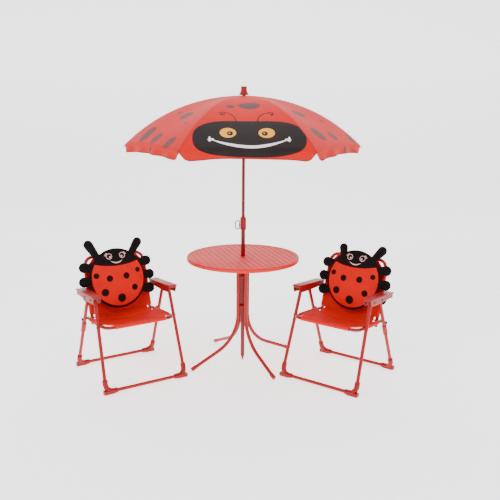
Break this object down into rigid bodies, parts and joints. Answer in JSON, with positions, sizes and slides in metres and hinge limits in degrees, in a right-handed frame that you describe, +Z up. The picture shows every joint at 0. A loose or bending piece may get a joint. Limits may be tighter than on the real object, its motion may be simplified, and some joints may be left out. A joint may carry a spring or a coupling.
{
  "type": "children's patio table and chairs with parasol",
  "caption": "Round children's garden table on splayed tube legs, with a closing beetle-face parasol and folding sling chairs with plush beetle cushions.",
  "frame": {"origin": "on the floor, at the middle of the whole set's footprint", "axes": "+Z up; front of the set, the side the parasol's face looks to, towards -Y"},
  "size_m": [1.4382, 0.9078, 1.233],
  "materials": {
    "frame_paint": "satin red paint on steel",
    "red_plastic": "moulded red plastic, fine satin grain",
    "sling_cloth": "plain woven red polyester",
    "canopy_cloth": "thin see-through red polyester printed with a black beetle face and grey spots",
    "bare_steel": "plain steel wire and pressed channel",
    "plush": "short-pile plush, red with black head and spots"
  },
  "bodies": {
    "table": {"table_top": "frame_paint", "table_hub": "red_plastic", "table_leg_1": "frame_paint", "table_leg_2": "frame_paint", "table_leg_3": "frame_paint", "table_leg_4": "frame_paint", "pole_guide_1": "red_plastic", "pole_guide_2": "red_plastic"},
    "parasol_base": {"lower_pole": "frame_paint", "pole_clip": "red_plastic"},
    "pull_pin_body": {"pull_pin": "bare_steel"},
    "upper_pole_body": {"upper_pole": "frame_paint", "crown": "red_plastic", "finial": "red_plastic"},
    "rib_body_1": {"rib_1": "bare_steel", "canopy_gore_1": "canopy_cloth"},
    "rib_body_2": {"rib_2": "bare_steel", "canopy_gore_2": "canopy_cloth"},
    "rib_body_3": {"rib_3": "bare_steel", "canopy_gore_3": "canopy_cloth"},
    "rib_body_4": {"rib_4": "bare_steel", "canopy_gore_4": "canopy_cloth"},
    "rib_body_5": {"rib_5": "bare_steel", "canopy_gore_5": "canopy_cloth"},
    "rib_body_6": {"rib_6": "bare_steel", "canopy_gore_6": "canopy_cloth"},
    "runner_body": {"runner": "red_plastic"},
    "strut_body_1": {"strut_1": "bare_steel"},
    "strut_body_2": {"strut_2": "bare_steel"},
    "strut_body_3": {"strut_3": "bare_steel"},
    "strut_body_4": {"strut_4": "bare_steel"},
    "strut_body_5": {"strut_5": "bare_steel"},
    "strut_body_6": {"strut_6": "bare_steel"},
    "chair_left_base": {"chair_left_front_legs": "frame_paint", "chair_left_front_legs_boot_r": "red_plastic", "chair_left_front_legs_boot_l": "red_plastic"},
    "chair_left_seat_body": {"chair_left_seat_frame": "frame_paint", "chair_left_seat_sling": "sling_cloth"},
    "chair_left_back_body": {"chair_left_back_frame": "frame_paint", "chair_left_back_sling": "sling_cloth", "chair_left_cushion": "plush"},
    "chair_left_arms_body": {"chair_left_armrest_r": "red_plastic", "chair_left_armrest_l": "red_plastic"},
    "chair_left_rear_body": {"chair_left_rear_legs": "frame_paint", "chair_left_rear_legs_boot_r": "red_plastic", "chair_left_rear_legs_boot_l": "red_plastic"},
    "chair_right_base": {"chair_right_front_legs": "frame_paint", "chair_right_front_legs_boot_r": "red_plastic", "chair_right_front_legs_boot_l": "red_plastic"},
    "chair_right_seat_body": {"chair_right_seat_frame": "frame_paint", "chair_right_seat_sling": "sling_cloth"},
    "chair_right_back_body": {"chair_right_back_frame": "frame_paint", "chair_right_back_sling": "sling_cloth", "chair_right_cushion": "plush"},
    "chair_right_arms_body": {"chair_right_armrest_r": "red_plastic", "chair_right_armrest_l": "red_plastic"},
    "chair_right_rear_body": {"chair_right_rear_legs": "frame_paint", "chair_right_rear_legs_boot_r": "red_plastic", "chair_right_rear_legs_boot_l": "red_plastic"}
  },
  "joints": [
    {"name": "parasol_lift", "type": "slide", "parent": "table", "child": "parasol_base", "axis": [0, 0, 1], "range_m": [0, 0.5]},
    {"name": "pull_pin_slide", "type": "slide", "parent": "parasol_base", "child": "pull_pin_body", "axis": [-1, 0, 0], "range_m": [0, 0.008]},
    {"name": "pole_telescope", "type": "slide", "parent": "parasol_base", "child": "upper_pole_body", "axis": [0, 0, 1], "range_m": [-0.12, 0]},
    {"name": "rib_hinge_1", "type": "hinge", "parent": "upper_pole_body", "child": "rib_body_1", "pos_m": [0.05429, 0.00053, 1.191], "axis": [-0.027, 0.9996, 0], "range_deg": [0, 62], "deforming": ["canopy_gore_1"]},
    {"name": "rib_hinge_2", "type": "hinge", "parent": "upper_pole_body", "child": "rib_body_2", "pos_m": [0.04409, 0.01715, 1.191], "axis": [-0.8792, 0.4764, 0], "range_deg": [0, 62], "deforming": ["canopy_gore_2"]},
    {"name": "rib_hinge_3", "type": "hinge", "parent": "upper_pole_body", "child": "rib_body_3", "pos_m": [0.0246, 0.01662, 1.191], "axis": [-0.8522, -0.5232, 0], "range_deg": [0, 62], "deforming": ["canopy_gore_3"]},
    {"name": "rib_hinge_4", "type": "hinge", "parent": "upper_pole_body", "child": "rib_body_4", "pos_m": [0.01531, -0.00053, 1.191], "axis": [0.027, -0.9996, 0], "range_deg": [0, 62], "deforming": ["canopy_gore_4"]},
    {"name": "rib_hinge_5", "type": "hinge", "parent": "upper_pole_body", "child": "rib_body_5", "pos_m": [0.02551, -0.01715, 1.191], "axis": [0.8792, -0.4764, 0], "range_deg": [0, 62], "deforming": ["canopy_gore_5"]},
    {"name": "rib_hinge_6", "type": "hinge", "parent": "upper_pole_body", "child": "rib_body_6", "pos_m": [0.045, -0.01662, 1.191], "axis": [0.8522, 0.5232, 0], "range_deg": [0, 62], "deforming": ["canopy_gore_6"]},
    {"name": "runner_slide", "type": "slide", "parent": "upper_pole_body", "child": "runner_body", "axis": [0, 0, 1], "range_m": [-0.2695, 0]},
    {"name": "strut_hinge_1", "type": "hinge", "parent": "runner_body", "child": "strut_body_1", "pos_m": [0.05529, 0.00055, 0.991], "axis": [-0.027, 0.9996, 0], "range_deg": [-39.05, 0]},
    {"name": "strut_hinge_2", "type": "hinge", "parent": "runner_body", "child": "strut_body_2", "pos_m": [0.04457, 0.01802, 0.991], "axis": [-0.8792, 0.4764, 0], "range_deg": [-39.05, 0]},
    {"name": "strut_hinge_3", "type": "hinge", "parent": "runner_body", "child": "strut_body_3", "pos_m": [0.02407, 0.01747, 0.991], "axis": [-0.8522, -0.5232, 0], "range_deg": [-39.05, 0]},
    {"name": "strut_hinge_4", "type": "hinge", "parent": "runner_body", "child": "strut_body_4", "pos_m": [0.01431, -0.00055, 0.991], "axis": [0.027, -0.9996, 0], "range_deg": [-39.05, 0]},
    {"name": "strut_hinge_5", "type": "hinge", "parent": "runner_body", "child": "strut_body_5", "pos_m": [0.02503, -0.01802, 0.991], "axis": [0.8792, -0.4764, 0], "range_deg": [-39.05, 0]},
    {"name": "strut_hinge_6", "type": "hinge", "parent": "runner_body", "child": "strut_body_6", "pos_m": [0.04553, -0.01747, 0.991], "axis": [0.8522, 0.5232, 0], "range_deg": [-39.05, 0]},
    {"name": "chair_left_pull_out", "type": "slide", "parent": "table", "child": "chair_left_base", "axis": [-0.8288, -0.5596, 0], "range_m": [0, 0.4]},
    {"name": "chair_left_fold", "type": "hinge", "parent": "chair_left_base", "child": "chair_left_seat_body", "pos_m": [-0.41473, -0.20138, 0.26], "axis": [0.8567, 0.5159, 0], "range_deg": [0, 58]},
    {"name": "chair_left_back_hinge", "type": "hinge", "parent": "chair_left_seat_body", "child": "chair_left_back_body", "pos_m": [-0.50533, -0.05091, 0.24587], "axis": [0.8567, 0.5159, 0], "range_deg": [-58, 0]},
    {"name": "chair_left_arm_hinge", "type": "hinge", "parent": "chair_left_base", "child": "chair_left_arms_body", "pos_m": [-0.43393, -0.16948, 0.37], "axis": [0.8567, 0.5159, 0], "range_deg": [0, 58]},
    {"name": "chair_left_rear_hinge", "type": "hinge", "parent": "chair_left_arms_body", "child": "chair_left_rear_body", "pos_m": [-0.47198, -0.1063, 0.36407], "axis": [0.8567, 0.5159, 0], "range_deg": [-101, 0]},
    {"name": "chair_right_pull_out", "type": "slide", "parent": "table", "child": "chair_right_base", "axis": [0.7469, -0.6649, 0], "range_m": [0, 0.4]},
    {"name": "chair_right_fold", "type": "hinge", "parent": "chair_right_base", "child": "chair_right_seat_body", "pos_m": [0.40192, -0.21368, 0.26], "axis": [0.7991, -0.6012, 0], "range_deg": [0, 58]},
    {"name": "chair_right_back_hinge", "type": "hinge", "parent": "chair_right_seat_body", "child": "chair_right_back_body", "pos_m": [0.50751, -0.07333, 0.24587], "axis": [0.7991, -0.6012, 0], "range_deg": [-58, 0]},
    {"name": "chair_right_arm_hinge", "type": "hinge", "parent": "chair_right_base", "child": "chair_right_arms_body", "pos_m": [0.4243, -0.18393, 0.37], "axis": [0.7991, -0.6012, 0], "range_deg": [0, 58]},
    {"name": "chair_right_rear_hinge", "type": "hinge", "parent": "chair_right_arms_body", "child": "chair_right_rear_body", "pos_m": [0.46864, -0.12499, 0.36407], "axis": [0.7991, -0.6012, 0], "range_deg": [-101, 0]}
  ],
  "couplings": [
    {"joint": "rib_hinge_2", "follows": "rib_hinge_1", "ratio": 1},
    {"joint": "rib_hinge_3", "follows": "rib_hinge_1", "ratio": 1},
    {"joint": "rib_hinge_4", "follows": "rib_hinge_1", "ratio": 1},
    {"joint": "rib_hinge_5", "follows": "rib_hinge_1", "ratio": 1},
    {"joint": "rib_hinge_6", "follows": "rib_hinge_1", "ratio": 1},
    {"joint": "runner_slide", "follows": "rib_hinge_1", "m_per_rad": -0.24815},
    {"joint": "strut_hinge_1", "follows": "rib_hinge_1", "ratio": -0.62173},
    {"joint": "strut_hinge_2", "follows": "rib_hinge_1", "ratio": -0.62173},
    {"joint": "strut_hinge_3", "follows": "rib_hinge_1", "ratio": -0.62173},
    {"joint": "strut_hinge_4", "follows": "rib_hinge_1", "ratio": -0.62173},
    {"joint": "strut_hinge_5", "follows": "rib_hinge_1", "ratio": -0.62173},
    {"joint": "strut_hinge_6", "follows": "rib_hinge_1", "ratio": -0.62173},
    {"joint": "chair_left_back_hinge", "follows": "chair_left_fold", "ratio": -1},
    {"joint": "chair_left_arm_hinge", "follows": "chair_left_fold", "ratio": 1},
    {"joint": "chair_left_rear_hinge", "follows": "chair_left_fold", "ratio": -1.7324},
    {"joint": "chair_right_back_hinge", "follows": "chair_right_fold", "ratio": -1},
    {"joint": "chair_right_arm_hinge", "follows": "chair_right_fold", "ratio": 1},
    {"joint": "chair_right_rear_hinge", "follows": "chair_right_fold", "ratio": -1.7324}
  ]
}
